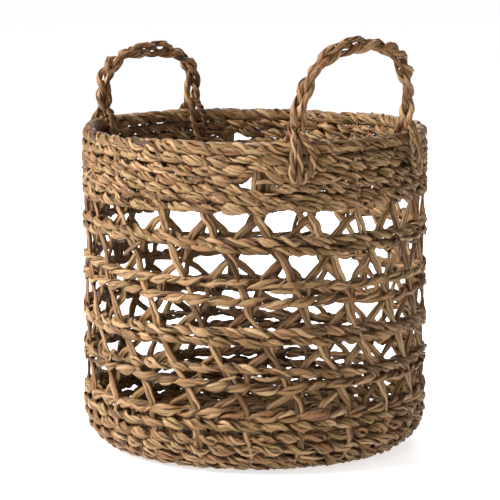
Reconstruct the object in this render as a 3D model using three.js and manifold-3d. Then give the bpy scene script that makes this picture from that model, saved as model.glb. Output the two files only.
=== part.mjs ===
// An openwork storage basket twined from seagrass cord, with two rope handles.
//
// Twenty-one pairs of cords, the stakes, start at a knot in the middle of the base, run out
// to the corner and climb the wall. One cord of each pair lies in an outer layer and one in
// an inner layer. In five open rows the two layers lean opposite ways and cross, and between
// those rows they are gripped by twined weave: a lower band, four rings and an upper band.
// A rolled border closes the top. Each handle is one rope that stands on the border between
// two feet and flexes about the line through them, and a lashing ties each foot to the wall.
//
// Units are millimetres, +Z is up, and the origin is the centre of the base's underside.

import * as THREE from "three";
import { mergeVertices } from "three/addons/utils/BufferGeometryUtils.js";
import Module from "manifold-3d";

const wasm = await Module();
wasm.setup();

// ---------------------------------------------------------------- driving dimensions

const OUTER_RADIUS = 165;
const BODY_HEIGHT = 308; // underside to the top of the border
const CORNER_RADIUS = 40; // outside of the bend from base to wall

const STAKE_PAIRS = 21;
const CORD_RADIUS = 1.9;
const WEAVE_THICKNESS = 3.2; // the weave on one face of the stakes
const FACET_GAP = 0.8; // beside a turned face, which leaves room for its flat facets
const GAP = 0.3; // between any other two pieces that lie together
const AROUND = 42; // facets of a turned piece

const RIM_UNDERSIDE = 294;
const UPPER_BAND = { low: 245, high: RIM_UNDERSIDE - GAP };
const RINGS = [
  { low: 205, high: 219 },
  { low: 158, high: 180 },
  { low: 121, high: 136 },
  { low: 81, high: 101 },
];
const LOWER_BAND = { low: CORNER_RADIUS + GAP, high: 62 };
const ROW_HEIGHT = 11;
const ROW_RIDGE = 0.9; // how far a twined row stands out between its neighbours

const CENTRE_KNOT_RADIUS = 15;
const STAKE_START_RADIUS = 18;

// Angles about +Z, in degrees.
const PAIR_SPACING = 360 / STAKE_PAIRS;
const FIRST_CROSSING = -40.5; // where the first pair crosses in the top open row
const RIGHT_LEAN_PER_ROW = 7; // how far a right-leaning cord moves round from row to row
const CROSSING_DROP = 0.2; // of an open row's height, from its top to where the cords cross

const ROPE_RADIUS = 6.8;
const ROPE_SIDES = 8;
const LASHING_THICKNESS = 3.4;
const LASHING_WIDTH = 11;
const LASHING_DEPTH = 46; // below the top of the border
const HANDLES = [
  { side: "right", angle: -4, halfSpan: 65, rise: 75, bulge: 0, lean: 11 },
  { side: "left", angle: 184, halfSpan: 60, rise: 52, bulge: 5, lean: 0 },
];

// ---------------------------------------------------------------- derived dimensions

const OUTER_WEAVE_INSIDE = OUTER_RADIUS - WEAVE_THICKNESS;
const RIGHT_CORD_RADIUS = OUTER_WEAVE_INSIDE - FACET_GAP - CORD_RADIUS;
const LEFT_CORD_RADIUS = RIGHT_CORD_RADIUS - 2 * CORD_RADIUS - GAP;
const INNER_WEAVE_OUTSIDE = LEFT_CORD_RADIUS - CORD_RADIUS - GAP;
const INNER_RADIUS = INNER_WEAVE_OUTSIDE - WEAVE_THICKNESS;
const CORNER_CENTRE = OUTER_RADIUS - CORNER_RADIUS; // radius at which the bend starts
const CORNER_STEPS = 4;
const BORDER_MIDDLE = (OUTER_RADIUS + INNER_RADIUS) / 2;
const LASHING_TOP = BODY_HEIGHT + GAP + LASHING_THICKNESS;
const PIVOT_HEIGHT = LASHING_TOP + GAP + ROPE_RADIUS;

const radians = THREE.MathUtils.degToRad;
const seagrass = { roughness: 0.85, metalness: 0 };
const weaveMaterial = new THREE.MeshStandardMaterial({ color: 0x9a7850, ...seagrass });
const stakeMaterial = new THREE.MeshStandardMaterial({ color: 0xa8875c, ...seagrass });
const ropeMaterial = new THREE.MeshStandardMaterial({ color: 0x8c6840, ...seagrass });

// The open rows from the top down, each the gap between two bands of weave.
const weaveLevels = [UPPER_BAND, ...RINGS, LOWER_BAND];
const OPEN_ROWS = weaveLevels.slice(1).map((below, i) => ({
  top: weaveLevels[i].low,
  bottom: below.high,
}));

// The angle at which pair 0's cords cross in open row `row`, counted from 0 at the top.
const crossingAngle = (row) => FIRST_CROSSING + RIGHT_LEAN_PER_ROW * row;

// ---------------------------------------------------------------- solids

// A closed geometry as a manifold-3d solid, which can be joined to another.
function solidOf(geometry) {
  const bare = new THREE.BufferGeometry();
  bare.setAttribute("position", geometry.getAttribute("position"));
  bare.setIndex(geometry.index);
  const merged = mergeVertices(bare, 1e-3);
  return new wasm.Manifold(
    new wasm.Mesh({
      numProp: 3,
      vertProperties: merged.getAttribute("position").array,
      triVerts: new Uint32Array(merged.index.array),
    }),
  );
}

// Several touching closed geometries joined into one.
function joined(geometries) {
  const mesh = geometries
    .map(solidOf)
    .reduce((all, next) => all.add(next))
    .getMesh();
  const geometry = new THREE.BufferGeometry();
  geometry.setAttribute("position", new THREE.BufferAttribute(mesh.vertProperties, 3));
  geometry.setIndex(new THREE.BufferAttribute(mesh.triVerts, 1));
  geometry.computeVertexNormals();
  return geometry;
}

// A profile of [radius, height] points, counter-clockwise, turned about +Z.
function turned(profile) {
  const points = profile.map(([radius, height]) => new THREE.Vector2(radius, height));
  const closes = profile[0][0] > 0;
  if (closes) points.push(points[0].clone());
  return new THREE.LatheGeometry(points, AROUND).rotateX(Math.PI / 2);
}

// A route through given points, one extrusion step from each to the next.
class Route extends THREE.Curve {
  constructor(points) {
    super();
    this.points = points;
  }

  getPoint(t) {
    const last = this.points.length - 1;
    const i = Math.min(Math.floor(t * last + 1e-9), last - 1);
    return this.points[i].clone().lerp(this.points[i + 1], t * last - i);
  }

  getSpacedPoints() {
    return this.points;
  }

  getTangentAt(t) {
    const last = this.points.length - 1;
    const i = Math.round(t * last);
    const after = this.points[Math.min(i + 1, last)];
    return after.clone().sub(this.points[Math.max(i - 1, 0)]).normalize();
  }
}

// A cord or rope of `sides` sides along a list of points.
function cordAlong(points, radius, sides) {
  const corners = Array.from({ length: sides }, (_, i) => {
    const turn = (2 * Math.PI * i) / sides;
    return new THREE.Vector2(radius * Math.cos(turn), radius * Math.sin(turn));
  });
  return new THREE.ExtrudeGeometry(new THREE.Shape(corners), {
    steps: points.length - 1,
    extrudePath: new Route(points),
  });
}

// The point at a radius, an angle in degrees about +Z, and a height.
function polar(radius, angle, height) {
  const a = radians(angle);
  return new THREE.Vector3(radius * Math.cos(a), radius * Math.sin(a), height);
}

// Points on the bend from base to wall at `depth` in from the outer face, base end first.
function bend(depth) {
  return Array.from({ length: CORNER_STEPS + 1 }, (_, i) => {
    const turn = ((i / CORNER_STEPS) * Math.PI) / 2;
    const r = CORNER_RADIUS - depth;
    return [CORNER_CENTRE + r * Math.sin(turn), CORNER_RADIUS - r * Math.cos(turn)];
  });
}

// ---------------------------------------------------------------- weave

// Blocks that cross from the outer weave to the inner weave midway between pairs of
// stakes, as twined strands do. Every third space has one.
function crossovers(pairAngle, low, high) {
  const width = 6;
  const from = (INNER_RADIUS + INNER_WEAVE_OUTSIDE) / 2;
  const to = OUTER_WEAVE_INSIDE + 1;
  return Array.from({ length: STAKE_PAIRS / 3 }, (_, i) => {
    const angle = pairAngle + PAIR_SPACING * (3 * i + 0.5);
    return new THREE.BoxGeometry(to - from, width, high - low)
      .translate((from + to) / 2, 0, (low + high) / 2)
      .rotateZ(radians(angle));
  });
}

// The outer face of a ring or band from `low` to `high`, with a ridge for each twined row.
function ridges(low, high) {
  const rows = Math.round((high - low) / ROW_HEIGHT);
  const height = (high - low) / rows;
  return Array.from({ length: 2 * rows + 1 }, (_, i) => [
    OUTER_RADIUS - (i % 2 ? 0 : ROW_RIDGE),
    low + (i * height) / 2,
  ]);
}

// The outer and inner hoops of a ring or band, tied together between the stakes.
function wallWeave({ low, high }, pairAngle) {
  const outer = turned([
    [OUTER_WEAVE_INSIDE, low],
    ...ridges(low, high),
    [OUTER_WEAVE_INSIDE, high],
  ]);
  const inner = turned([
    [INNER_RADIUS, low],
    [INNER_WEAVE_OUTSIDE, low],
    [INNER_WEAVE_OUTSIDE, high],
    [INNER_RADIUS, high],
  ]);
  return joined([outer, inner, ...crossovers(pairAngle, low + 1, high - 1)]);
}

// The weave that goes round the bend from base to wall.
function cornerWeave(pairAngle) {
  const outer = turned([...bend(0), ...bend(WEAVE_THICKNESS).reverse()]);
  const inner = turned([
    ...bend(OUTER_RADIUS - INNER_WEAVE_OUTSIDE),
    ...bend(OUTER_RADIUS - INNER_RADIUS).reverse(),
  ]);
  return joined([outer, inner, ...crossovers(pairAngle, CORNER_RADIUS - 5, CORNER_RADIUS - 1)]);
}

// One flat layer of the base, between two depths up from its underside.
function baseWeave(low, high) {
  const inside = CENTRE_KNOT_RADIUS + GAP;
  const outside = CORNER_CENTRE - GAP;
  return turned([[inside, low], [outside, low], [outside, high], [inside, high]]);
}

function centreKnot() {
  const height = OUTER_RADIUS - INNER_RADIUS;
  const r = CENTRE_KNOT_RADIUS;
  return turned([[0, 0], [r, 0], [r, height], [0, height]]);
}

// A rolled border with eased edges.
function rimBorder() {
  const ease = 4;
  return turned([
    [INNER_RADIUS, RIM_UNDERSIDE],
    [OUTER_RADIUS, RIM_UNDERSIDE],
    [OUTER_RADIUS, BODY_HEIGHT - ease],
    [OUTER_RADIUS - ease, BODY_HEIGHT],
    [INNER_RADIUS + ease, BODY_HEIGHT],
    [INNER_RADIUS, BODY_HEIGHT - ease],
  ]);
}

// ---------------------------------------------------------------- stakes

// One cord of a pair, from the knot to the border. `layer` says how deep it lies in the
// wall and how far it moves round in an open row, and `pair` is its place round the base.
function stake(pair, layer) {
  const depth = OUTER_RADIUS - layer.radius;
  const rows = OPEN_ROWS.length;
  const crossingOf = (row) =>
    crossingAngle(row) + PAIR_SPACING * (pair + (layer.leansLeft ? rows - row : 0));
  // The cord's angle in an open row, `share` of the way down it.
  const angleAt = (row, share) => {
    const crossing = crossingOf(row);
    const spread = (crossingOf(row + 1) - crossing) * layer.spread;
    return crossing + spread * (share - CROSSING_DROP);
  };
  const foot = angleAt(rows - 1, 1);
  const points = [polar(STAKE_START_RADIUS, foot, depth)];
  for (const [radius, height] of bend(depth)) points.push(polar(radius, foot, height));
  for (let row = rows - 1; row >= 0; row--) {
    const { top, bottom } = OPEN_ROWS[row];
    points.push(polar(layer.radius, angleAt(row, 1), bottom));
    points.push(polar(layer.radius, angleAt(row, 0.5), (top + bottom) / 2));
    points.push(polar(layer.radius, angleAt(row, 0), top));
  }
  points.push(polar(layer.radius, angleAt(0, 0), RIM_UNDERSIDE - GAP));
  return cordAlong(points, CORD_RADIUS, 4);
}

// ---------------------------------------------------------------- handles

// The rope of one handle in its own upright plane: x across the wall, z up, feet at z = 0.
function handleRope({ halfSpan, rise, bulge }) {
  const steps = 22;
  const squareness = 2 / 2.5; // a superellipse, a little squarer than an ellipse
  const points = Array.from({ length: steps + 1 }, (_, i) => {
    const t = (Math.PI * i) / steps;
    const across = Math.sign(Math.cos(t)) * Math.abs(Math.cos(t)) ** squareness;
    const up = Math.sin(t) ** squareness;
    return new THREE.Vector3(0, halfSpan * across + bulge * Math.sin(2 * t), rise * up);
  });
  const foot = (y) => new THREE.SphereGeometry(ROPE_RADIUS, ROPE_SIDES, 6).translate(0, y, 0);
  return joined([
    cordAlong(points, ROPE_RADIUS, ROPE_SIDES),
    foot(halfSpan),
    foot(-halfSpan),
  ]);
}

// An inverted U that straddles the border and grips the upper band, centred on x = 0.
function lashing() {
  const inside = (OUTER_RADIUS - INNER_RADIUS) / 2 + FACET_GAP;
  const outside = inside + LASHING_THICKNESS;
  const foot = BODY_HEIGHT - LASHING_DEPTH;
  const corners = [
    [-outside, foot],
    [-inside, foot],
    [-inside, BODY_HEIGHT + GAP],
    [inside, BODY_HEIGHT + GAP],
    [inside, foot],
    [outside, foot],
    [outside, LASHING_TOP - 2],
    [outside - 2, LASHING_TOP],
    [2 - outside, LASHING_TOP],
    [-outside, LASHING_TOP - 2],
  ];
  const outline = new THREE.Shape(corners.map(([x, z]) => new THREE.Vector2(x, z)));
  return new THREE.ExtrudeGeometry(outline, { depth: LASHING_WIDTH, bevelEnabled: false })
    .rotateX(Math.PI / 2)
    .translate(0, LASHING_WIDTH / 2, 0);
}

// ---------------------------------------------------------------- assembly

const basket = new THREE.Group();

function addTo(group, name, geometry, material) {
  const mesh = new THREE.Mesh(geometry, material);
  mesh.name = name;
  group.add(mesh);
  return mesh;
}

const baseDepth = OUTER_RADIUS - INNER_RADIUS;
addTo(basket, "base_centre_knot", centreKnot(), weaveMaterial);
addTo(basket, "base_underside_weave", baseWeave(0, WEAVE_THICKNESS), weaveMaterial);
addTo(basket, "base_floor_weave", baseWeave(baseDepth - WEAVE_THICKNESS, baseDepth), weaveMaterial);
const footAngle = crossingAngle(OPEN_ROWS.length);
addTo(basket, "corner_weave", cornerWeave(footAngle), weaveMaterial);
addTo(basket, "lower_band_weave", wallWeave(LOWER_BAND, footAngle), weaveMaterial);
RINGS.forEach((ring, i) => {
  addTo(basket, `ring_weave_${i + 1}`, wallWeave(ring, crossingAngle(i + 1)), weaveMaterial);
});
addTo(basket, "upper_band_weave", wallWeave(UPPER_BAND, crossingAngle(0)), weaveMaterial);
addTo(basket, "rim_border", rimBorder(), weaveMaterial);

const LAYERS = [
  { name: "stake_right_lean", radius: RIGHT_CORD_RADIUS, leansLeft: false, spread: 0.5 },
  { name: "stake_left_lean", radius: LEFT_CORD_RADIUS, leansLeft: true, spread: 0.85 },
];
for (const layer of LAYERS) {
  for (let pair = 0; pair < STAKE_PAIRS; pair++) {
    const number = String(pair + 1).padStart(2, "0");
    addTo(basket, `${layer.name}_${number}`, stake(pair, layer), stakeMaterial);
  }
}

for (const handle of HANDLES) {
  const place = new THREE.Group();
  place.rotation.z = radians(handle.angle);
  basket.add(place);

  const feetAngle = Math.asin(handle.halfSpan / BORDER_MIDDLE);
  const rope = addTo(place, `handle_${handle.side}`, handleRope(handle), ropeMaterial);
  rope.position.set(BORDER_MIDDLE * Math.cos(feetAngle), 0, PIVOT_HEIGHT);
  rope.rotation.y = radians(handle.lean);

  for (const [foot, turn] of [["near", -feetAngle], ["far", feetAngle]]) {
    const tie = addTo(place, `lashing_${handle.side}_${foot}`, lashing(), ropeMaterial);
    tie.position.set(BORDER_MIDDLE * Math.cos(turn), BORDER_MIDDLE * Math.sin(turn), 0);
    tie.rotation.z = turn;
  }
}

export default basket;
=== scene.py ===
import bpy
import numpy as np
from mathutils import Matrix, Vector


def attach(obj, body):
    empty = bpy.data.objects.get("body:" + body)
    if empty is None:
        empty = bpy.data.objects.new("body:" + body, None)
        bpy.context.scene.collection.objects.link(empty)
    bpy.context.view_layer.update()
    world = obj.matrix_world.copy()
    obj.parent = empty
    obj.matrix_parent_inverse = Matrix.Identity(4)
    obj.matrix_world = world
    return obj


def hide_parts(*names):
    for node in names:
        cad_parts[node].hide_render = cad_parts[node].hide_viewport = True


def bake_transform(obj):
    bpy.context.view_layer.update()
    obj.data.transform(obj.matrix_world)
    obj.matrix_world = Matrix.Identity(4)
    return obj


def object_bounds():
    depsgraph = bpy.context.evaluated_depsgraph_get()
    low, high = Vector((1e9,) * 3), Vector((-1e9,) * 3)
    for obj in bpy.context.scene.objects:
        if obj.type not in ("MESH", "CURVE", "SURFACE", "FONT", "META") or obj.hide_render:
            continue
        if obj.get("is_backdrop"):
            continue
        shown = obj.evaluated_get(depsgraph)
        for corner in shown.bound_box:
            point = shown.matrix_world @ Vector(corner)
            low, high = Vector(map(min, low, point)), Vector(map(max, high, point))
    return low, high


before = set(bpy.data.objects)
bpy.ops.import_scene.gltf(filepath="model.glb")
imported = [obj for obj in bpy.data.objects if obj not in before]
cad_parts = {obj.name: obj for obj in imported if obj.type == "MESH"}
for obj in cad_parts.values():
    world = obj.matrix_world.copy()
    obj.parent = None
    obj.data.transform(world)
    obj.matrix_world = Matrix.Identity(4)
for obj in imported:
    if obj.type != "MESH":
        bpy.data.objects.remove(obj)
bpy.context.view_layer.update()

seagrass_random = np.random.default_rng(20)

# ---------------------------------------------------------------------------------- camera
# A long lens well back from the basket and a little above its border. It looks towards a
# front crossing of the stakes, from VIEW_ANGLE round the basket, and stands a little left.
VIEW_ANGLE = np.radians(-42)  # where the camera stands, round the basket's axis
VIEW_DISTANCE = 2.601
VIEW_HEIGHT = 0.5785
VIEW_PITCH = np.radians(8.58)
VIEW_LEFT = 0.0046
camera_data = bpy.data.cameras.new("camera")
camera_data.sensor_width = 36
camera_data.lens = 197.5
camera_data.clip_end = 100
camera = bpy.data.objects.new("camera", camera_data)
bpy.context.collection.objects.link(camera)
towards = Vector((np.cos(VIEW_ANGLE), np.sin(VIEW_ANGLE), 0))
rightwards = Vector((-np.sin(VIEW_ANGLE), np.cos(VIEW_ANGLE), 0))
camera.location = towards * VIEW_DISTANCE - rightwards * VIEW_LEFT + Vector((0, 0, VIEW_HEIGHT))
camera.rotation_euler = (np.pi / 2 - VIEW_PITCH, 0, VIEW_ANGLE + np.pi / 2)
bpy.context.scene.camera = camera
bpy.context.scene.view_settings.view_transform = "Standard"

# ---------------------------------------------------------------------------------- stakes
# Twenty-one pairs of stakes run from the centre knot out over the base and up the wall to
# the border. Each stake is a soft cord of two split seagrass blades, lightly twisted.
OUTER_RADIUS = 0.165
BODY_HEIGHT = 0.308
HALF_WALL = 0.0077
FLAT_RADIUS = 0.125  # the base is flat out to here, then bends up
CORNER_RADIUS = 0.040 - HALF_WALL  # of the wall's middle surface
WALL_START = FLAT_RADIUS + CORNER_RADIUS * np.pi / 2  # along the profile, at the corner's top
WALL_FOOT = HALF_WALL + CORNER_RADIUS  # the height of the corner's top
STAKE_PAIRS = 21
PAIR_SPACING = 2 * np.pi / STAKE_PAIRS
FIRST_CROSSING = np.radians(-40.5)
RIGHT_LEAN_PER_ROW = np.radians(7)
RIM_UNDERSIDE = 0.294
UPPER_BAND_UNDERSIDE = 0.245
LOWER_BAND_TOP = 0.062
RINGS = [(0.205, 0.219), (0.158, 0.180), (0.121, 0.136), (0.081, 0.101)]
ROW_TOPS = [UPPER_BAND_UNDERSIDE] + [low for low, high in RINGS]
ROW_BOTTOMS = [high for low, high in RINGS] + [LOWER_BAND_TOP]


def up_the_wall(height):
    """How far along the profile a height on the wall lies, counted from the base's centre."""
    return WALL_START + height - WALL_FOOT


def wall_frame(along, angle, out=0.0):
    """A point on the wall's middle surface and the directions there. The surface is a turned
    profile: level from the axis to FLAT_RADIUS, a quarter circle up, then upright. `along` is
    the length along it and `angle` the turn about +Z. `out` moves the point along the outward
    normal. Gives the point, the outward normal, and the direction of growing `along`."""
    bend = np.clip((along - FLAT_RADIUS) / CORNER_RADIUS, 0, np.pi / 2)
    radius = np.minimum(along, FLAT_RADIUS) + CORNER_RADIUS * np.sin(bend)
    height = HALF_WALL + CORNER_RADIUS * (1 - np.cos(bend)) + np.maximum(along - WALL_START, 0)

    def turned(outward, upward):
        return np.stack([outward * np.cos(angle), outward * np.sin(angle), upward], axis=-1)

    point = turned(radius + out * np.sin(bend), height - out * np.cos(bend))
    normal = turned(np.sin(bend), -np.cos(bend) + 0 * angle)
    onward = turned(np.cos(bend), np.sin(bend) + 0 * angle)
    return point, normal, onward


def wander(length_along, wavelength):
    """A smooth random sway between about -1 and 1 for each blade: three sine waves of
    random phase, the second and third shorter and weaker than the first."""
    total = 0
    for share in (1.0, 0.6, 0.35):
        phase = seagrass_random.uniform(0, 2 * np.pi, (len(length_along), 1))
        total = total + share * np.sin(2 * np.pi * length_along / (wavelength * share) + phase)
    return total / 1.5


def row_sway(angle, amount):
    """How a whole row strays from level on its way round: a few whole-number waves."""
    total = 0
    for waves in (2, 3, 5, 9, 16):
        phase = seagrass_random.uniform(0, 2 * np.pi)
        total = total + np.sin(waves * angle + phase) / np.sqrt(waves)
    return amount * total / 1.6


def smooth_path(points, count):
    """A smooth curve through hand-set points, evenly spaced along its length: a cubic Hermite
    in each gap with slopes from the points either side, sampled finely, then respaced."""
    points = np.asarray(points, float)
    slopes = np.gradient(points, axis=0)
    t = np.linspace(0, 1, 12, endpoint=False)[:, None, None]
    a, b = points[:-1], points[1:]
    curve = (
        (2 * t**3 - 3 * t**2 + 1) * a
        + (t**3 - 2 * t**2 + t) * slopes[:-1]
        + (3 * t**2 - 2 * t**3) * b
        + (t**3 - t**2) * slopes[1:]
    )
    curve = np.vstack([curve.transpose(1, 0, 2).reshape(-1, 3), points[-1:]])
    length = np.append(0, np.cumsum(np.linalg.norm(np.diff(curve, axis=0), axis=1)))
    even = np.linspace(0, length[-1], count)
    return np.stack([np.interp(even, length, curve[:, i]) for i in range(3)], axis=-1)


def unit(vectors):
    return vectors / np.maximum(np.linalg.norm(vectors, axis=-1, keepdims=True), 1e-9)


SIDES = 6  # points round a blade's section


def blade_mesh(name, centre, facing, width, thickness, taper=0.06):
    """Every blade of a piece as one mesh. Row b of `centre` is blade b's middle line and
    `facing` the way its flat side looks. The section is an ellipse `width` by `thickness`,
    bent along its middle by a double-angle cosine, and drawn in to a blunt tip over
    `taper` of the length at both ends. Each blade carries three random numbers for its tone,
    and a UV map in metres along it and in turns round it."""
    blades, steps = centre.shape[:2]
    forward = unit(np.gradient(centre, axis=1))
    across = unit(np.cross(facing, forward))
    facing = np.cross(forward, across)
    turn = 2 * np.pi * np.arange(SIDES) / SIDES
    trough = seagrass_random.uniform(-0.45, 0.15, (blades, 1, 1))
    place = np.linspace(0, 1, steps)
    ends = np.clip(np.minimum(place, 1 - place) / taper, 0, 1)
    tip = 0.3 + 0.7 * np.sqrt(ends * (2 - ends))
    wide = (width * tip)[..., None] / 2 * np.cos(turn)
    deep = (thickness * tip)[..., None] / 2 * (np.sin(turn) + trough * np.cos(2 * turn))
    rings = (
        centre[:, :, None]
        + across[:, :, None] * wide[..., None]
        + facing[:, :, None] * deep[..., None]
    )

    first = (np.arange(blades)[:, None, None] * steps + np.arange(steps - 1)[:, None]) * SIDES
    k = np.arange(SIDES)
    after = (k + 1) % SIDES
    walls = np.stack([first + k, first + after, first + SIDES + after, first + SIDES + k], -1)
    cap = np.array([[0, 1, 2, 3], [3, 4, 5, 0]])
    start = np.arange(blades)[:, None, None] * steps * SIDES
    end = start + (steps - 1) * SIDES
    faces = np.concatenate(
        [walls.reshape(-1, 4), (start + cap[:, ::-1]).reshape(-1, 4), (end + cap).reshape(-1, 4)]
    )

    length = np.cumsum(np.linalg.norm(np.diff(centre, axis=1, prepend=centre[:, :1]), axis=2), 1)
    length = np.broadcast_to(length[:, :, None], (blades, steps, SIDES)).reshape(-1)
    around = np.broadcast_to(k / SIDES, (blades, steps, SIDES)).reshape(-1)
    uv = np.stack([length[faces], around[faces]], axis=-1)
    wall_faces = blades * (steps - 1) * SIDES
    uv[:wall_faces, 1:3, 1] = np.where(
        uv[:wall_faces, 1:3, 1] == 0, 1.0, uv[:wall_faces, 1:3, 1]
    )

    mesh = bpy.data.meshes.new(name)
    mesh.vertices.add(rings.size // 3)
    mesh.vertices.foreach_set("co", rings.astype(np.float32).ravel())
    mesh.loops.add(faces.size)
    mesh.loops.foreach_set("vertex_index", faces.astype(np.int32).ravel())
    mesh.polygons.add(len(faces))
    mesh.polygons.foreach_set("loop_start", np.arange(0, faces.size, 4, dtype=np.int32))
    mesh.polygons.foreach_set("use_smooth", np.ones(len(faces), bool))
    mesh.uv_layers.new(name="along").data.foreach_set("uv", uv.astype(np.float32).ravel())
    tone = np.ones((blades, steps * SIDES, 4))
    tone[..., :3] = seagrass_random.uniform(0, 1, (blades, 1, 3))
    layer = mesh.attributes.new("blade", "FLOAT_COLOR", "POINT")
    layer.data.foreach_set("color", tone.astype(np.float32).ravel())
    mesh.update(calc_edges=True)
    piece = bpy.data.objects.new(name, mesh)
    bpy.context.collection.objects.link(piece)
    return piece


class Wire:
    """A shader socket that takes part in sums, so that an expression adds Math nodes."""

    def __init__(self, finish, socket):
        self.finish, self.socket = finish, socket

    def join(self, operation, first, second):
        settings = {"operation": operation}
        return self.finish.node("ShaderNodeMath", settings, {0: first, 1: second})

    def __add__(self, other):
        return self.join("ADD", self, other)

    def __sub__(self, other):
        return self.join("SUBTRACT", self, other)

    def __rsub__(self, other):
        return self.join("SUBTRACT", other, self)

    def __mul__(self, other):
        return self.join("MULTIPLY", self, other)

    def outputs(self):
        """Every output of the node that this one belongs to."""
        return [Wire(self.finish, socket) for socket in self.socket.node.outputs]

    __radd__ = __add__
    __rmul__ = __mul__


class Finish:
    """A material under construction. `node` adds any node but a sum."""

    def __init__(self, name):
        self.material = bpy.data.materials.new(name)
        self.material.use_nodes = True
        self.tree = self.material.node_tree
        self.surface = self.tree.nodes["Principled BSDF"]

    def link(self, socket, value):
        if isinstance(value, Wire):
            self.tree.links.new(value.socket, socket)
        else:
            socket.default_value = value

    def node(self, kind, settings, sockets, output=0):
        made = self.tree.nodes.new(kind)
        for key, value in settings.items():
            if key == "stops":
                ramp = made.color_ramp
                for place, colour in value:
                    ramp.elements.new(place).color = (*colour, 1)
                ramp.elements.remove(ramp.elements[0])
                ramp.elements.remove(ramp.elements[-1])
            else:
                setattr(made, key, value)
        for key, value in sockets.items():
            self.link(made.inputs[key], value)
        return Wire(self, made.outputs[output])

    def blend(self, amount, first, second):
        """`first` turned towards `second` by `amount`."""
        settings = {"data_type": "RGBA"}
        return self.node("ShaderNodeMix", settings, {0: amount, 6: first, 7: second}, output=2)


def seagrass(name, dark, middle, pale, bump_depth=0.0007):
    """Dry seagrass. Each blade has its own tone between three browns, some lean to orange and
    some to olive. Long fibres, patches and dark flecks run along the blade, and the fibres stand
    up a little from the surface. Both long sides of a blade are painted darker, partly as drier
    rims and partly as painted shade for the crevices between blades."""
    finish = Finish(name)
    split = finish.node("ShaderNodeAttribute", {"attribute_name": "blade"}, {})
    numbers = finish.node("ShaderNodeSeparateColor", {}, {0: split}).outputs()
    tone, hue, shift = numbers
    uv = finish.node("ShaderNodeUVMap", {"uv_map": "along"}, {})
    along, around, _ = finish.node("ShaderNodeSeparateXYZ", {}, {0: uv}).outputs()

    def streaks(per_metre, round_it, detail):
        """Noise stretched along the blade, different on each one."""
        spots = {0: along * per_metre, 1: around * round_it, 2: shift * 90}
        where = finish.node("ShaderNodeCombineXYZ", {}, spots)
        sockets = {"Vector": where, "Scale": 1.0, "Detail": detail}
        return finish.node("ShaderNodeTexNoise", {}, sockets)

    def rise(value, start, stop, amount):
        """0 up to `start`, then growing evenly to `amount` at `stop`."""
        sockets = {0: value, 1: start, 2: stop, 3: 0.0, 4: amount}
        return finish.node("ShaderNodeMapRange", {}, sockets)

    fibres = streaks(30, 26, 3.0)
    patches = streaks(18, 1.5, 2.0)
    flecks = streaks(120, 6, 2.0)
    level = tone * 0.75 + patches * 0.75 + fibres * 0.75 - 0.62
    stops = [(0.05, dark), (0.45, middle), (0.95, pale)]
    base = finish.node("ShaderNodeValToRGB", {"stops": stops}, {0: level})
    # A paler colour, for pale scuffs on the blades and for painted highlights.
    scuff_and_highlight_colour = tuple(min(1.0, shade * 1.25 + 0.03) for shade in pale)
    olive = (middle[0] * 1.05, middle[1] * 1.28, middle[2] * 0.95, 1)
    rust = (middle[0] * 1.28, middle[1] * 0.98, middle[2] * 0.85, 1)
    base = finish.blend(rise(hue, 0.66, 0.98, 0.5), base, rust)
    base = finish.blend(rise(1 - hue, 0.66, 0.98, 0.6), base, olive)
    # Painted shade: both long sides of each blade are darkened, partly as drier rims and partly
    # standing in for the shade in the crevices between blades.
    edge = finish.node("ShaderNodeMath", {"operation": "PINGPONG"}, {0: around, 1: 0.25})
    edge_shade = rise(0.25 - edge, 0.12, 0.25, 0.72)
    base = finish.blend(edge_shade, base, (*dark, 1))
    fleck = rise(flecks, 0.58, 0.74, 0.5)
    base = finish.blend(fleck, base, (*dark, 1))
    # Pale streaks along the blades: partly scuffs, partly painted highlight standing in for the
    # blades' glossy sheen.
    scuff_and_highlight_mask = rise(streaks(260, 14, 2.0), 0.56, 0.66, 1.0) * rise(patches, 0.56, 0.66, 0.35)
    base = finish.blend(scuff_and_highlight_mask, base, (*scuff_and_highlight_colour, 1))
    finish.link(finish.surface.inputs["Base Color"], base)
    finish.link(finish.surface.inputs["Roughness"], 0.68 - fibres * 0.30 + fleck * 0.2)
    finish.surface.inputs["Specular IOR Level"].default_value = 0.28
    sockets = {"Strength": 0.7, "Distance": bump_depth, "Height": fibres * 0.7 + flecks * 0.3}
    finish.link(finish.surface.inputs["Normal"], finish.node("ShaderNodeBump", {}, sockets))
    return finish.material


def finish_piece(piece, material, slot, *nodes):
    """Gives a basket piece its material, in place of its CAD nodes. `slot` is not used."""
    piece.data.materials.append(material)
    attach(piece, "basket")
    if nodes:
        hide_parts(*nodes)


stake_finish = seagrass(
    "stake_seagrass", (0.036, 0.0130, 0.0028), (0.166, 0.086, 0.031), (0.34, 0.216, 0.108)
)
STAKE_DEPTH = {"right": 0.0029, "left": -0.0025}  # out from the wall's middle
STAKE_SPREAD = {"right": 0.5, "left": 0.85}  # how much of the lean is made in the open row
CROSSING_DROP = 0.2  # of an open row's height, from its top to where the stakes cross
STRAY_AT_RING = 0.0016  # how far, typically, a stake strays sideways at a ring
STAKE_BLADES_APART = 0.0024  # from the stake's middle to each blade's, sideways
STAKE_BLADES_SWING = 0.0012  # the same, in and out
STAKE_TWIST = 0.075  # the length in which the two blades circle each other once
STAKE_BLADE_WIDTH = 0.0047
STAKE_BLADE_THICKNESS = 0.0027


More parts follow.
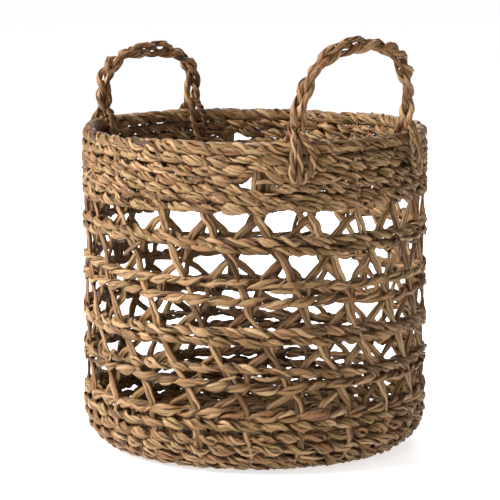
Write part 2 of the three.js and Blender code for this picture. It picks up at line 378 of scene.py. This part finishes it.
def stake_route(side, pair):
    """A stake's middle line as (along, angle) points: level over the base and round the
    corner at one angle, then a straight slant in each open row, which meets the other
    stake of its pair about CROSSING_DROP of the way down the row. At each ring the stake
    strays a millimetre or two from its even place."""
    rows = len(ROW_TOPS)
    strays = seagrass_random.normal(0, STRAY_AT_RING, rows + 1) / OUTER_RADIUS

    def crossing(row):
        steps_left = rows - row if side == "left" else 0
        even = FIRST_CROSSING + RIGHT_LEAN_PER_ROW * row + PAIR_SPACING * (pair + steps_left)
        return even + strays[row]

    def lean(row, share):
        spread = (crossing(row + 1) - crossing(row)) * STAKE_SPREAD[side]
        return crossing(row) + spread * (share - CROSSING_DROP)

    foot = lean(rows - 1, 1)
    route = [(0.016, foot), (0.05, foot), (0.09, foot), (FLAT_RADIUS, foot)]
    route += [(WALL_START, foot), (up_the_wall(0.045), foot)]
    for row in reversed(range(rows)):
        top, bottom = up_the_wall(ROW_TOPS[row]), up_the_wall(ROW_BOTTOMS[row])
        route.append((bottom, lean(row, 1)))
        route.append(((top + bottom) / 2, lean(row, 0.5)))
        route.append((top, lean(row, 0)))
    route.append((up_the_wall(RIM_UNDERSIDE) + 0.003, lean(0, 0)))
    return np.array([(along, angle, 0) for along, angle in route])


for side in ("right", "left"):
    for pair in range(STAKE_PAIRS):
        route = smooth_path(stake_route(side, pair) * (1, OUTER_RADIUS, 1), 110)
        along = np.repeat(route[None, :, 0], 2, axis=0)
        angle = np.repeat(route[None, :, 1], 2, axis=0) / OUTER_RADIUS
        twist = np.pi * np.array([[0], [1]]) + 2 * np.pi * along / STAKE_TWIST
        twist = twist + seagrass_random.uniform(0, 2 * np.pi) + 0.5 * wander(along, 0.06)
        stray = 0.0016 * row_sway(along * 40, 1.0) + 0.0006 * wander(along, 0.05)
        angle = angle + (STAKE_BLADES_APART * np.cos(twist) + stray) / OUTER_RADIUS
        depth = STAKE_DEPTH[side] + STAKE_BLADES_SWING * np.sin(twist)
        centre, normal, onward = wall_frame(along, angle, depth)
        sideways = unit(np.cross(onward, normal))
        facing = unit(normal + 0.45 * np.sin(twist)[..., None] * sideways)
        width = STAKE_BLADE_WIDTH * seagrass_random.uniform(0.85, 1.2, (2, 1))
        width = width + 0.0005 * wander(along, 0.08)
        name = f"seagrass_stake_{side}_{pair + 1:02d}"
        stake = blade_mesh(name, centre, facing, width, STAKE_BLADE_THICKNESS + 0 * width, 0.02)
        node = f"stake_{side}_lean_{pair + 1:02d}"
        finish_piece(stake, stake_finish, "stakes", node)

# ------------------------------------------------------------------------------- base weave
# The flat base is twined row by row from the knot outwards. In each row two strands of
# three blades pass over and under the stakes and cross between them.
BLADE_WIDTH = 0.0049
BLADE_THICKNESS = 0.0024
REACH = 0.0053  # from the wall's middle to the middle of a strand on one of its faces
BLADE_SPREAD = 0.0023  # from a strand's middle to its blades' middles, beside each other
BLADE_RISE = 0.0010  # the same, one above the other
BLADE_RUN = 0.26  # about how far one blade goes round before the next is laid in
STRAND_TWIST = 0.11  # the length in which a strand's blades circle each other once
BASE_ROW_PITCH = 0.0080
BASE_FIRST_ROW = 0.021
BASE_STAKE_GAP = 0.022  # how far a strand of the base runs in one half twist
weave_finish = seagrass(
    "weave_seagrass", (0.034, 0.0120, 0.0025), (0.170, 0.088, 0.032), (0.36, 0.230, 0.116)
)


def twined_row(
    along,
    half_twists,
    lean,
    turn_at=0.0,
    slant=0.0020,
    sway=0.0012,
    lays=3,
    breadth=1.0,
    steps=92,
    tilt=0.0,
    partings=(),
):
    """One twined row. Two strands circle the row's middle line half a turn apart, REACH
    through the wall and `slant` along it, and half a turn takes them past one stake. The
    angle of that circle lingers where a strand lies on a face of the wall, and is a little
    ahead on some blades and behind on others. Each strand is `lays` blades that circle each
    other slowly, in lengths that overlap round the row. `lean` is 1 where a front strand
    rises to the right and -1 where it falls, and `breadth` sets its blades further apart.
    `tilt` raises the row on the camera's left and lowers it on the right, by a sine, and
    `sway` is about how far the row strays from level on its way round.
    `partings` are slits where rows are pushed apart: (angle, place along, half width, half
    height), with a push that fades as a bell curve round the row and exponentially along."""
    radius = min(along, OUTER_RADIUS)
    pieces = max(2, round(2 * np.pi * radius / BLADE_RUN))
    counts = (range(2), range(lays), range(pieces))
    strand, lay, piece = (grid.reshape(-1, 1) for grid in np.meshgrid(*counts))
    span = 2 * np.pi / pieces
    start = span * (piece + lay / lays) + seagrass_random.uniform(-0.3, 0.3, piece.shape) * span
    extra = seagrass_random.uniform(1.05, 1.25, piece.shape)
    angle = start + span * extra * np.linspace(0, 1, steps)
    travelled = angle * radius
    circle = lean * half_twists / 2 * (angle - turn_at) + np.pi * strand
    circle = circle + row_sway(angle * 7, 0.42) + 0.24 * wander(travelled, 0.06)
    circle = circle + seagrass_random.normal(0, 0.24, piece.shape)
    circle = circle - 0.20 * np.sin(2 * circle)
    front = np.cos(circle) ** 2
    inner = 2 * np.pi * lay / lays + 2 * np.pi * travelled / STRAND_TWIST
    inner = inner + 0.9 * wander(travelled, 0.08)
    beside = BLADE_SPREAD * breadth * np.cos(inner) * (0.85 + 0.2 * front)
    above = BLADE_RISE * np.sin(inner) + 0.0003 * wander(travelled, 0.03)
    level = along + row_sway(angle, sway) + 0.0008 * wander(travelled, 0.05)
    level = level + tilt * np.sin(VIEW_ANGLE - angle)
    for where, place, half_width, half_height in partings:
        near = np.remainder(angle - where + np.pi, 2 * np.pi) - np.pi
        push = half_height * np.exp(-((near * radius / half_width) ** 2))
        level = level + push * np.sign(along - place) * np.exp(-abs(along - place) / 0.014)
    slant = slant * (1 + 0.35 * row_sway(angle * 9, 1.0))
    through = (REACH + above) * np.cos(circle) - beside * np.sin(circle)
    lift = (slant + above) * np.sin(circle) + beside * np.cos(circle)
    centre, normal, onward = wall_frame(level + lift, angle, through)
    facing = np.cos(circle)[..., None] * normal + np.sin(circle)[..., None] * onward
    narrower = 1.24 - 0.08 * lays  # the more blades to a strand, the narrower each is
    own_width = seagrass_random.uniform(0.62, 1.2, (len(angle), 1)) * narrower
    width = BLADE_WIDTH * own_width * (0.9 + 0.15 * front) + 0.0003 * wander(travelled, 0.03)
    return centre, unit(facing), width, BLADE_THICKNESS * (0.6 + 0.4 * own_width) + 0 * width


def weave(name, rows):
    """One piece from several rows of blades."""
    parts = [np.concatenate(arrays) for arrays in zip(*rows)]
    return blade_mesh(name, *parts)


base_rows = []
row_count = int((FLAT_RADIUS - BASE_FIRST_ROW) / BASE_ROW_PITCH) + 1
for row in range(row_count):
    radius = BASE_FIRST_ROW + row * BASE_ROW_PITCH
    half_twists = 2 * round(np.pi * radius / BASE_STAKE_GAP)
    base_rows.append(
        twined_row(radius, half_twists, 1, slant=0.0014, sway=0.0006, breadth=1.3, steps=60)
    )
base_weave = weave("base_weave", base_rows)
finish_piece(base_weave, weave_finish, "weave", "base_underside_weave", "base_floor_weave")

# ------------------------------------------------------------------------------ centre knot
# The stakes start under a small knot in the middle of the base. It is one strand wound
# tightly round their ends in a flat spiral, above and below.
KNOT_TURNS = 3.3
KNOT_INNER_RADIUS = 0.0028
KNOT_PITCH = 0.0042
KNOT_TOP, KNOT_UNDERSIDE = 0.0112, 0.0042  # heights of the winding's two layers
wind = np.linspace(0, 2 * np.pi * KNOT_TURNS, 84)
spiral = KNOT_INNER_RADIUS + KNOT_PITCH * wind / (2 * np.pi)
knot_centre = []
for level, offset in (
    (KNOT_TOP, 0.0), (KNOT_UNDERSIDE, 1.5), (KNOT_TOP, 3.1), (KNOT_UNDERSIDE, 4.6)
):
    turn = wind + offset
    knot_centre.append(
        np.stack([spiral * np.cos(turn), spiral * np.sin(turn), level + 0 * turn], axis=-1)
    )
knot_centre = np.array(knot_centre)
knot_facing = np.zeros_like(knot_centre) + (0, 0, 1.0)
knot_width = np.full(knot_centre.shape[:2], 0.0045)
knot = blade_mesh("centre_knot", knot_centre, knot_facing, knot_width, knot_width * 0.6)
finish_piece(knot, weave_finish, "weave", "base_centre_knot")

# --------------------------------------------------------------------- corner and lower band
# Where the base turns up into the wall the same twining goes on round the corner and up to
# the first open row, in rows set a little apart, so that the stakes show between them.
HALF_TWISTS = 2 * STAKE_PAIRS
ROW_INSET = 0.0045  # from a band's edge to the middle of its outermost row
stakes_foot = FIRST_CROSSING + len(RINGS) * RIGHT_LEAN_PER_ROW + RIGHT_LEAN_PER_ROW
lower_levels = np.linspace(FLAT_RADIUS + 0.004, up_the_wall(LOWER_BAND_TOP) - ROW_INSET, 7)
lower_leans = [-1, -1, -1, -1, -1, -1, 1]
lower_rows = [
    twined_row(
        level,
        HALF_TWISTS,
        lean,
        stakes_foot + row % 2 * PAIR_SPACING / 4,
        slant=0.0019,
        sway=0.0014,
        lays=4,
        breadth=1.35,
    )
    for row, (level, lean) in enumerate(zip(lower_levels, lower_leans))
]
corner_rows = int(np.sum(lower_levels < WALL_START))
corner = weave("corner", lower_rows[:corner_rows])
finish_piece(corner, weave_finish, "weave", "corner_weave")
lower_band = weave("lower_band", lower_rows[corner_rows:])
finish_piece(lower_band, weave_finish, "weave", "lower_band_weave")

# ------------------------------------------------------------------------------------ rings
# Four rings of two twined rows each grip the crossed stakes between the open rows. The two
# rows of a ring touch in places and leave slits in others, and each ring stands a little
# higher on one side, as hand-laid rows do.
RING_LEANS = [(-1, -1), (1, 1), (-1, -1), (1, -1)]
# Of each ring's two rows: how far the first is above its low edge and the second below its high.
RING_INSETS = [(0.0060, 0.0005), (0.0050, 0.0015), (0.0045, 0.0035), (0.0045, 0.0035)]
RING_TILT = 0.0035
RING_SWAY = 0.0029
ring_shapes = zip(RINGS, RING_LEANS, RING_INSETS)
for number, ((low, high), leans, (above_low, below_high)) in enumerate(ring_shapes, start=1):
    turn_at = FIRST_CROSSING + number * RIGHT_LEAN_PER_ROW
    levels = (up_the_wall(low) + above_low, up_the_wall(high) - below_high)
    ring_rows = [
        twined_row(
            level,
            HALF_TWISTS,
            lean,
            turn_at + row * PAIR_SPACING / 4,
            sway=RING_SWAY,
            tilt=RING_TILT,
        )
        for row, (level, lean) in enumerate(zip(levels, leans))
    ]
    ring = weave(f"ring_{number}", ring_rows)
    finish_piece(ring, weave_finish, "weave", f"ring_weave_{number}")

# ------------------------------------------------------------------------------- upper band
# Six rows twined close together under the border, of finer blades. All their strands fall
# to the right, and the rows part round a slit at the front and another at the back.
UPPER_ROW_INSET = 0.0030
upper_levels = np.linspace(
    up_the_wall(UPPER_BAND_UNDERSIDE) + UPPER_ROW_INSET,
    up_the_wall(RIM_UNDERSIDE) - UPPER_ROW_INSET,
    6,
)
SLITS = [
    (np.radians(-40.5), up_the_wall(0.2725), 0.0145, 0.0115),
    (np.radians(145), up_the_wall(0.276), 0.014, 0.0065),
]
upper_rows = [
    twined_row(
        level,
        HALF_TWISTS,
        -1,
        FIRST_CROSSING + row % 2 * PAIR_SPACING / 4,
        slant=0.0019,
        sway=0.0014,
        lays=5,
        breadth=1.5,
        steps=68,
        partings=SLITS,
    )
    for row, level in enumerate(upper_levels)
]
upper_band = weave("upper_band", upper_rows)
finish_piece(upper_band, weave_finish, "weave", "upper_band_weave")

# ----------------------------------------------------------------------------------- border
# The stakes' ends are rolled into a border: four thick strands laid up like a rope round
# the top of the wall, each of several broad blades.
BORDER_LEVEL = up_the_wall((RIM_UNDERSIDE + BODY_HEIGHT) / 2)
BORDER_BLADES = 4  # to a strand
BORDER_BLADE_WIDTH = 0.0050
BORDER_BLADE_THICKNESS = 0.0020


def rolled_border(turns, strands, reach_out, reach_up):
    """The border. Each strand circles the border's middle line `turns` times on its way round,
    as a helix with an elliptical section, `reach_out` by `reach_up`. Its blades circle the
    strand in turn, in lengths that overlap."""
    pieces = 5
    counts = (range(strands), range(BORDER_BLADES), range(pieces))
    strand, lay, piece = (grid.reshape(-1, 1) for grid in np.meshgrid(*counts))
    span = 2 * np.pi / pieces
    start = span * (piece + lay / BORDER_BLADES)
    start = start + seagrass_random.uniform(-0.3, 0.3, piece.shape) * span
    angle = start + span * 1.15 * np.linspace(0, 1, 88)
    travelled = angle * OUTER_RADIUS
    circle = -turns * angle + 2 * np.pi * strand / strands + 0.60 * wander(travelled, 0.05)
    circle = circle + row_sway(angle * 7, 0.45)
    inner = 2 * np.pi / BORDER_BLADES * lay + 2 * np.pi * travelled / 0.10
    inner = inner + 0.8 * wander(travelled, 0.09)
    beside = 0.0030 * np.cos(inner)
    above = 0.0011 * np.sin(inner)
    level = BORDER_LEVEL + row_sway(angle, 0.0012) + 0.0006 * wander(travelled, 0.04)
    through = (reach_out + above) * np.cos(circle) - beside * np.sin(circle)
    lift = (reach_up + above) * np.sin(circle) + beside * np.cos(circle)
    centre, normal, onward = wall_frame(level + lift, angle, through)
    facing = np.cos(circle)[..., None] * normal + np.sin(circle)[..., None] * onward
    own_width = seagrass_random.uniform(0.6, 1.2, (len(angle), 1))
    width = BORDER_BLADE_WIDTH * own_width + 0.0004 * wander(travelled, 0.03)
    thickness = BORDER_BLADE_THICKNESS * own_width + 0 * width
    return blade_mesh("border", centre, unit(facing), width, thickness)


border = rolled_border(turns=12, strands=4, reach_out=0.0044, reach_up=0.0040)
finish_piece(border, weave_finish, "weave", "rim_border")

# ---------------------------------------------------------------------------------- handles
# Each handle is a three-strand plait of seagrass cord, standing on the border at two feet.
# It is stiff enough to stand up, and is set leaning out about its feet.
rope_finish = seagrass(
    "rope_seagrass", (0.034, 0.0120, 0.0025), (0.168, 0.082, 0.029), (0.32, 0.192, 0.090)
)
PIVOT_HEIGHT = 0.3188
BORDER_MIDDLE = OUTER_RADIUS - HALF_WALL
HANDLES = {
    "right": {"angle": -4, "half_span": 0.065, "rise": 0.075, "bulge": 0.0, "lean": 11},
    "left": {"angle": 184, "half_span": 0.060, "rise": 0.052, "bulge": 0.005, "lean": 0},
}


def handle_line(half_span, rise, bulge, lean, angle, count):
    """A handle's middle line, evenly spaced: a superellipse a little squarer than an ellipse
    in an upright plane, on two short straight legs, leaned out about its feet and turned to
    its place on the border. Gives the points and the plane's outward direction."""
    t = np.linspace(np.pi, 0, 120)
    across = np.sign(np.cos(t)) * np.abs(np.cos(t)) ** 0.8 * half_span + bulge * np.sin(2 * t)
    up = np.sin(t) ** 0.8 * rise
    leg = 0.010
    across = np.concatenate([[-half_span], across, [half_span]])
    up = np.concatenate([[-leg], up, [-leg]])
    tilt, turn = np.radians(lean), np.radians(angle)
    feet = np.arcsin(half_span / BORDER_MIDDLE)
    out = BORDER_MIDDLE * np.cos(feet) + np.maximum(up, 0) * np.sin(tilt)
    height = PIVOT_HEIGHT + np.where(up > 0, up * np.cos(tilt), up)
    points = np.stack(
        [
            out * np.cos(turn) - across * np.sin(turn),
            out * np.sin(turn) + across * np.cos(turn),
            height,
        ],
        axis=-1,
    )
    outward = np.array(
        [np.cos(tilt) * np.cos(turn), np.cos(tilt) * np.sin(turn), -np.sin(tilt)]
    )
    return smooth_path(points, count), outward


def plait(line, outward, wide, deep, cycle, blades_each, blade_width):
    """A three-strand plait along a line. A strand swings `wide` from side to side once in
    `cycle` metres while it swings `deep` in and out twice as often, and the three are a third
    of a swing apart. The whole plait turns slowly, and each strand is a few twisted blades."""
    steps = len(line)
    strand, lay = (
        grid.reshape(-1, 1) for grid in np.meshgrid(range(3), range(blades_each))
    )
    travelled = np.cumsum(np.linalg.norm(np.diff(line, axis=0, prepend=line[:1]), axis=1))
    travelled = np.repeat(travelled[None], len(strand), axis=0)
    forward = unit(np.gradient(line, axis=0))
    side = unit(np.cross(forward, outward))
    outward = np.cross(side, forward)
    roll = 2 * np.pi * travelled / 0.19
    swing = 2 * np.pi * (travelled / cycle + strand / 3) + 0.25 * wander(travelled, 0.06)
    inner = 2 * np.pi * (lay / blades_each + travelled / 0.045)
    u = wide * np.sin(swing) + 0.0019 * np.cos(inner)
    v = deep * np.sin(2 * swing) + 0.0015 * np.sin(inner)
    turned_u = u * np.cos(roll) - v * np.sin(roll)
    turned_v = u * np.sin(roll) + v * np.cos(roll)
    centre = line + turned_u[..., None] * side + turned_v[..., None] * outward
    facing = (
        np.cos(inner + roll)[..., None] * side + np.sin(inner + roll)[..., None] * outward
    )
    width = blade_width * seagrass_random.uniform(0.85, 1.2, (len(strand), 1))
    width = width + 0.0004 * wander(travelled, 0.03)
    return centre, unit(facing), width, 0.0019 + 0 * width


for side, handle in HANDLES.items():
    line, outward = handle_line(**handle, count=150)
    strands = plait(
        line, outward, wide=0.0054, deep=0.0030, cycle=0.072, blades_each=3, blade_width=0.0050
    )
    rope = blade_mesh(f"rope_handle_{side}", *strands)
    rope.data.materials.append(rope_finish)
    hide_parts(f"handle_{side}")
    foot = Vector(line[0].tolist())
    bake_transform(rope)

# --------------------------------------------------------------------------------- lashings
# At each foot the rope's strands come apart, go over the border and down the band, and turn
# back up through the weave. They are cords of two blades.
CORD_TWIST = 0.021  # the length in which a cord's two blades circle each other once
CORD_BLADE_WIDTH = 0.0039
CORD_BLADE_THICKNESS = 0.0027
# Points of (sideways, out from the wall's middle, up from the border's top) beside a foot.
LASHING_ROUTES = {
    "outside_hairpin": [
        (-0.003, 0.001, 0.012), (-0.004, 0.007, 0.004), (-0.005, 0.0112, -0.008),
        (-0.007, 0.0122, -0.024), (-0.006, 0.0118, -0.036), (-0.002, 0.0115, -0.037),
        (0.0005, 0.0122, -0.028), (-0.0002, 0.012, -0.012), (0.001, 0.008, 0.001),
        (0.002, 0.001, 0.006),
    ],
    "outside_loop": [
        (0.002, 0.0, 0.010), (0.005, 0.008, 0.003), (0.011, 0.0122, -0.009),
        (0.012, 0.0125, -0.020), (0.006, 0.0122, -0.032), (0.001, 0.0100, -0.037),
    ],
    "inside_leg": [
        (0.001, -0.001, 0.012), (0.003, -0.007, 0.004), (0.004, -0.0112, -0.008),
        (0.001, -0.0120, -0.020), (-0.003, -0.0118, -0.030), (-0.006, -0.0090, -0.036),
    ],
    "inside_tail": [
        (-0.002, -0.002, 0.010), (-0.006, -0.009, 0.002), (-0.010, -0.0118, -0.010),
        (-0.009, -0.0110, -0.020), (-0.005, -0.0080, -0.027),
    ],
}


def lashing_cord(route, foot_angle, mirror):
    """A cord of two twisted blades along a route of (sideways, out from the wall's middle, up
    from the border's top) points beside a foot of the handle."""
    sideways, out, up = smooth_path(route, 48).T
    angle = foot_angle + mirror * sideways / OUTER_RADIUS
    middle, normal, onward = wall_frame(up_the_wall(BODY_HEIGHT) + up, angle, out)
    travelled = np.linspace(0, 0.0016 * len(middle), len(middle))
    travelled = np.repeat(travelled[None], 2, axis=0)
    forward = unit(np.gradient(middle, axis=0))
    side = unit(np.cross(forward, normal))
    twist = np.pi * np.array([[0], [1]]) + 2 * np.pi * travelled / CORD_TWIST
    twist = twist + seagrass_random.uniform(0, 2 * np.pi)
    centre = (
        middle
        + 0.0017 * np.cos(twist)[..., None] * side
        + 0.0011 * np.sin(twist)[..., None] * normal
    )
    facing = unit(normal + 0.6 * np.sin(twist)[..., None] * side)
    width = CORD_BLADE_WIDTH * seagrass_random.uniform(0.9, 1.15, (2, 1)) + 0 * travelled
    return centre, facing, width, CORD_BLADE_THICKNESS + 0 * width


for side, handle in HANDLES.items():
    feet = np.arcsin(handle["half_span"] / BORDER_MIDDLE)
    for foot, way in (("near", -1), ("far", 1)):
        foot_angle = np.radians(handle["angle"]) + way * feet
        cords = [lashing_cord(route, foot_angle, -way) for route in LASHING_ROUTES.values()]
        lashing = weave(f"foot_lashing_{side}_{foot}", cords)
        finish_piece(lashing, rope_finish, "rope", f"lashing_{side}_{foot}")

# ------------------------------------------------------------------------------- loose ends
# Where one blade runs out and the next is laid in, its tail is left on the outside. Tails
# lie along the weave and lift off towards the tip, and thin fibres split from the blades.
WOVEN_BANDS = [(0.044, 0.060), *RINGS, (UPPER_BAND_UNDERSIDE, 0.285)]


def loose_blades(name, count, lengths, lift, breadth, thickness, upturned=0.12):
    """Blades that start inside the weave and leave it at a shallow angle. Along each, the
    angle round the wall grows evenly, the height follows a gentle slope, and the distance out
    grows a little evenly and by `lift` times the square of the way along. Some bow to one
    side, by a parabola. A share
    `upturned` of them turn upwards. `lengths` and `lift` are (least, most)."""
    steps = 9
    way = np.linspace(0, 1, steps)
    lows, highs = np.array(WOVEN_BANDS).T
    band = seagrass_random.choice(len(lows), (count, 1), p=(highs - lows) / (highs - lows).sum())
    height = lows[band] + (highs - lows)[band] * seagrass_random.uniform(0.1, 0.9, (count, 1))
    start = seagrass_random.uniform(0, 2 * np.pi, (count, 1))
    length = seagrass_random.uniform(*lengths, (count, 1))
    slope = seagrass_random.normal(-0.25, 0.3, (count, 1))
    slope = np.where(seagrass_random.uniform(size=(count, 1)) < upturned, 0.7, slope)
    heading = seagrass_random.choice([-1, 1], (count, 1))
    bow = seagrass_random.uniform(-0.8, 0.8, (count, 1)) * length
    angle = start + heading * length * way / OUTER_RADIUS
    level = up_the_wall(height) + heading * slope * length * way + bow * way * (1 - way)
    reach = HALF_WALL - 0.0030 + seagrass_random.uniform(*lift, (count, 1)) * way**2 + 0.002 * way
    centre, normal, onward = wall_frame(level, angle, reach)
    size = seagrass_random.uniform(0.7, 1.2, (count, 1)) + 0 * way
    return blade_mesh(name, centre, normal, breadth * size, thickness * size, 0.35)


tails = loose_blades(
    "loose_ends", 64, lengths=(0.012, 0.030), lift=(0.000, 0.003), breadth=0.0040, thickness=0.0014
)
finish_piece(tails, weave_finish, "weave")
fibres = loose_blades(
    "stray_fibres",
    220,
    lengths=(0.008, 0.020),
    lift=(0.000, 0.002),
    breadth=0.0006,
    thickness=0.0004,
    upturned=0.4,
)
finish_piece(fibres, weave_finish, "weave")

# --------------------------------------------------------------------------------- floor
# A plain pale floor and soft daylight from the left, with weak ones in front and behind.
FLOOR_HALF = 14.0
floor_mesh = bpy.data.meshes.new("floor")
corners = [(x * FLOOR_HALF, y * FLOOR_HALF, 0) for x, y in ((-1, -1), (1, -1), (1, 1), (-1, 1))]
floor_mesh.from_pydata(corners, [], [(0, 1, 2, 3)])
floor = bpy.data.objects.new("floor", floor_mesh)
bpy.context.collection.objects.link(floor)
floor.location.z = -0.0005
floor_finish = Finish("pale_floor")
floor_finish.surface.inputs["Base Color"].default_value = (0.93, 0.93, 0.93, 1)
floor_finish.surface.inputs["Roughness"].default_value = 0.9
floor_finish.surface.inputs["Specular IOR Level"].default_value = 0.1
floor_finish.surface.inputs["Emission Color"].default_value = (1, 1, 1, 1)
floor_finish.surface.inputs["Emission Strength"].default_value = 0.66
floor_mesh.materials.append(floor_finish.material)
floor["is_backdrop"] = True

world = bpy.data.worlds.new("studio")
bpy.context.scene.world = world
world.use_nodes = True
world.node_tree.nodes["Background"].inputs["Color"].default_value = (1, 1, 1, 1)
world.node_tree.nodes["Background"].inputs["Strength"].default_value = 0.33


def soft_light(name, turn, height, distance, size, power):
    """A square light aimed at the basket's middle, `turn` degrees right of the camera and
    `height` degrees up."""
    light = bpy.data.lights.new(name, "AREA")
    light.size = size
    light.energy = power
    lamp = bpy.data.objects.new(name, light)
    bpy.context.collection.objects.link(lamp)
    angle = VIEW_ANGLE + np.radians(turn)
    flat = distance * np.cos(np.radians(height))
    target = Vector((0, 0, 0.16))
    rise = distance * np.sin(np.radians(height))
    offset = Vector((flat * np.cos(angle), flat * np.sin(angle), rise))
    lamp.location = target + offset
    lamp.rotation_euler = (-offset).to_track_quat("-Z", "Y").to_euler()


soft_light("window", turn=-68, height=38, distance=2.2, size=1.0, power=121)
soft_light("front", turn=5, height=30, distance=2.6, size=1.6, power=7)
soft_light("rear", turn=178, height=32, distance=2.6, size=1.6, power=36)

low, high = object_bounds()
